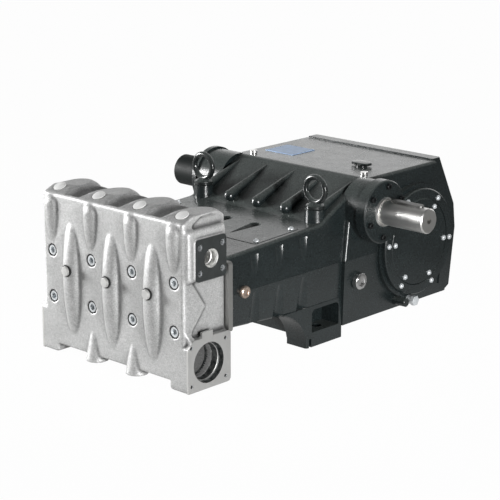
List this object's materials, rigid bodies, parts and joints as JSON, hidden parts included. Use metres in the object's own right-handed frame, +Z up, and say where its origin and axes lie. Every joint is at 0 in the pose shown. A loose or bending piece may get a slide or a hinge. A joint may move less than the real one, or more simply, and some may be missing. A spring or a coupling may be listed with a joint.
{
  "type": "plunger pump",
  "caption": "High-pressure plunger pump with a ribbed silver head, black crankcase with built-in gear, keyed drive shaft and lifting eyes.",
  "frame": {"origin": "on the floor, midway between the two front foot bolts", "axes": "+X along the drive shaft towards its free end, +Y from the pumping head to the rear cover, +Z up"},
  "size_m": [0.609, 0.756, 0.305],
  "materials": {
    "head_casting": "satin metallic coat",
    "black_paint": "satin",
    "bright_steel": "machined",
    "zinc_steel": "zinc plated",
    "brass": "plain",
    "black_plastic": "matt",
    "blue_plate": "blue enamel, blank",
    "chrome": "plated ring"
  },
  "bodies": {
    "pump": {"manifold_head": "head_casting", "packing_plate": "bright_steel", "front_plug_1": "bright_steel", "front_plug_2": "bright_steel", "front_plug_3": "bright_steel", "crankcase": "black_paint", "front_foot_left": "black_paint", "front_foot_right": "black_paint", "rear_foot_left": "black_paint", "rear_foot_right": "black_paint", "crosshead_hatch": "black_paint", "rear_cover": "black_paint", "shaft_bearing_cover": "black_paint", "shaft_seal_ring": "bright_steel", "left_bearing_cover": "black_paint", "shaft_end_cap": "black_paint", "crank_bearing_ring_left": "black_paint", "crank_bearing_ring_right": "black_paint", "crank_end_cover_left": "black_paint", "crank_end_cover_right": "black_paint", "lifting_eye_left": "black_paint", "lifting_eye_right": "black_paint", "filler_cap": "black_plastic", "top_plug_left": "zinc_steel", "top_plug_right": "zinc_steel", "nameplate": "blue_plate", "oil_sight_glass": "chrome", "drain_elbow": "black_paint", "drain_plug": "zinc_steel", "guide_plug_left": "brass", "guide_plug_right": "brass"},
    "shaft": {"drive_shaft": "bright_steel", "shaft_key": "bright_steel"}
  },
  "joints": [
    {"name": "shaft_spin", "type": "hinge", "parent": "pump", "child": "shaft", "pos_m": [0.2, 0.105, 0.229], "axis": [1, 0, 0], "continuous": true}
  ]
}
